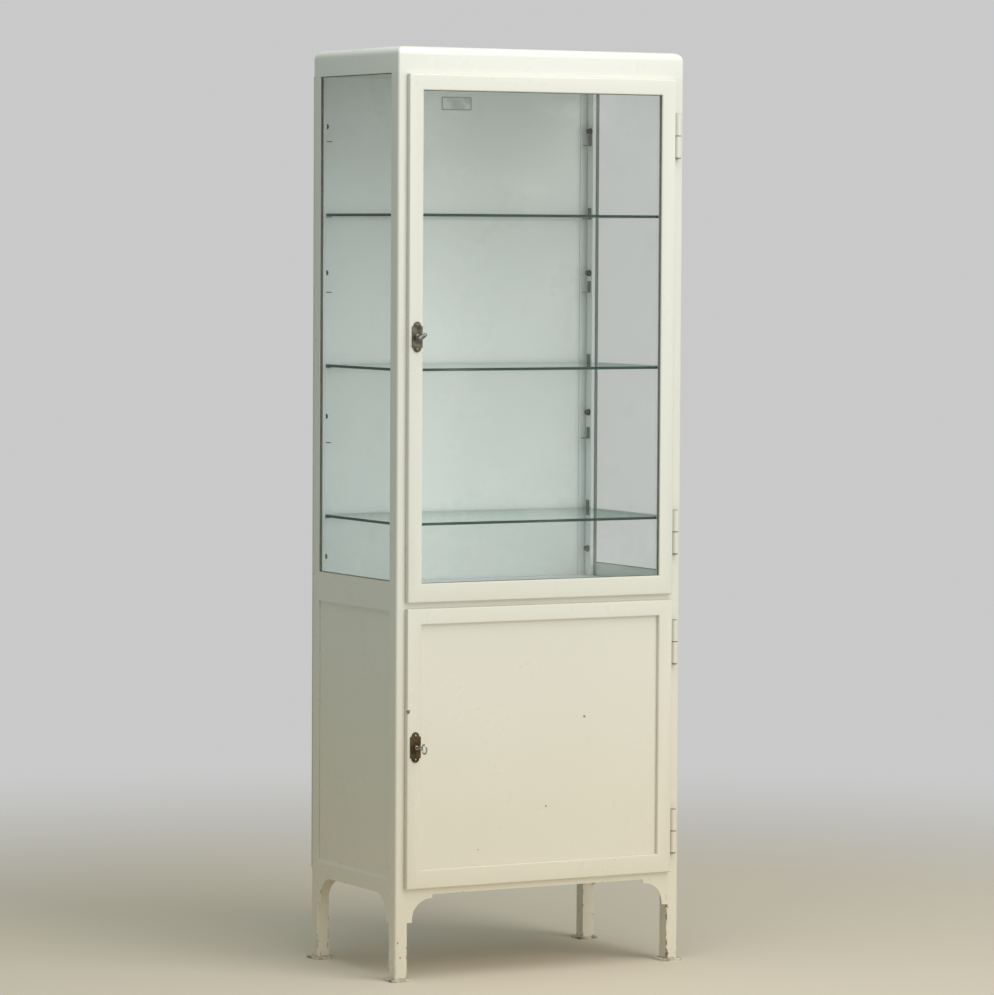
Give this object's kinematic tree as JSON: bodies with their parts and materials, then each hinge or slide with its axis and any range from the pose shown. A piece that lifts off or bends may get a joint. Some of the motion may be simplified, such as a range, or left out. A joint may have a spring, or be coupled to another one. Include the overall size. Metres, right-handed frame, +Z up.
{
  "type": "glass door medical cabinet",
  "caption": "Tall free-standing painted steel cabinet on square legs: a hinged glass door over clipped glass shelves, and a locking panelled cupboard door below.",
  "frame": {"origin": "on the floor under the middle of the bounding box, from the key's bow to the rear feet", "axes": "+X to the right as seen from the front, +Y to the back, +Z up; the doors face -Y"},
  "size_m": [0.615, 0.4016, 1.7],
  "materials": {
    "cream_paint": "semi-gloss, worn",
    "pane_glass": "clear window glass",
    "shelf_glass": "clear, green at the ground edges",
    "plain_steel": "dull",
    "nickel_plate": "worn nickel plate",
    "aged_bronze": "dark aged",
    "rusty_bronze": "dark, rusty"
  },
  "bodies": {
    "carcass": {"post_front_left": "cream_paint", "post_front_right": "cream_paint", "post_rear_left": "cream_paint", "post_rear_right": "cream_paint", "foot_front_left": "cream_paint", "foot_front_right": "cream_paint", "foot_rear_left": "cream_paint", "foot_rear_right": "cream_paint", "shelf_strip_front_left": "cream_paint", "shelf_strip_front_right": "cream_paint", "shelf_strip_rear_left": "cream_paint", "shelf_strip_rear_right": "cream_paint", "top_cap": "cream_paint", "header_rail": "cream_paint", "mid_rail": "cream_paint", "apron_front": "cream_paint", "apron_rear": "cream_paint", "apron_left": "cream_paint", "apron_right": "cream_paint", "side_rail_left": "cream_paint", "side_rail_right": "cream_paint", "side_panel_left": "cream_paint", "side_panel_right": "cream_paint", "side_glass_left": "pane_glass", "side_glass_right": "pane_glass", "back_panel": "cream_paint", "lower_floor": "cream_paint", "case_floor": "cream_paint", "glass_shelf_1": "shelf_glass", "glass_shelf_2": "shelf_glass", "glass_shelf_3": "shelf_glass", "hinge_1_frame_knuckle": "cream_paint", "hinge_2_frame_knuckle": "cream_paint", "hinge_3_frame_knuckle": "cream_paint", "hinge_4_frame_knuckle": "cream_paint", "hinge_1_pin": "plain_steel", "hinge_2_pin": "plain_steel", "hinge_3_pin": "plain_steel", "hinge_4_pin": "plain_steel"},
    "upper_door": {"upper_door_frame": "cream_paint", "upper_door_glass": "pane_glass", "upper_glazing_bead": "cream_paint", "upper_escutcheon": "aged_bronze", "upper_spindle_bush": "plain_steel", "hinge_1_door_knuckle": "cream_paint", "hinge_2_door_knuckle": "cream_paint"},
    "upper_latch": {"upper_handle": "nickel_plate", "upper_latch_cam": "plain_steel", "upper_latch_nut": "plain_steel"},
    "lower_door": {"lower_door_frame": "cream_paint", "lower_door_panel": "cream_paint", "lower_escutcheon": "rusty_bronze", "lower_lock_case": "plain_steel", "hinge_3_door_knuckle": "cream_paint", "hinge_4_door_knuckle": "cream_paint"},
    "lower_key": {"lower_key": "nickel_plate"},
    "lower_bolt": {"lower_lock_bolt": "plain_steel"}
  },
  "joints": [
    {"name": "upper_door_hinge", "type": "hinge", "parent": "carcass", "child": "upper_door", "pos_m": [0.285, -0.15165, 1.171], "axis": [0, 0, 1], "range_deg": [0, 170]},
    {"name": "upper_handle_turn", "type": "hinge", "parent": "upper_door", "child": "upper_latch", "pos_m": [-0.265, -0.15515, 1.175], "axis": [0, 1, 0], "range_deg": [0, 90]},
    {"name": "lower_door_hinge", "type": "hinge", "parent": "carcass", "child": "lower_door", "pos_m": [0.285, -0.15165, 0.425], "axis": [0, 0, 1], "range_deg": [0, 170]},
    {"name": "lower_key_turn", "type": "hinge", "parent": "lower_door", "child": "lower_key", "pos_m": [-0.265, -0.15515, 0.429], "axis": [0, -1, 0], "range_deg": [0, 180]},
    {"name": "lower_bolt_slide", "type": "slide", "parent": "lower_door", "child": "lower_bolt", "axis": [-1, 0, 0], "range_m": [0, 0.012]}
  ],
  "couplings": [
    {"joint": "lower_bolt_slide", "follows": "lower_key_turn", "m_per_rad": 0.003819}
  ]
}
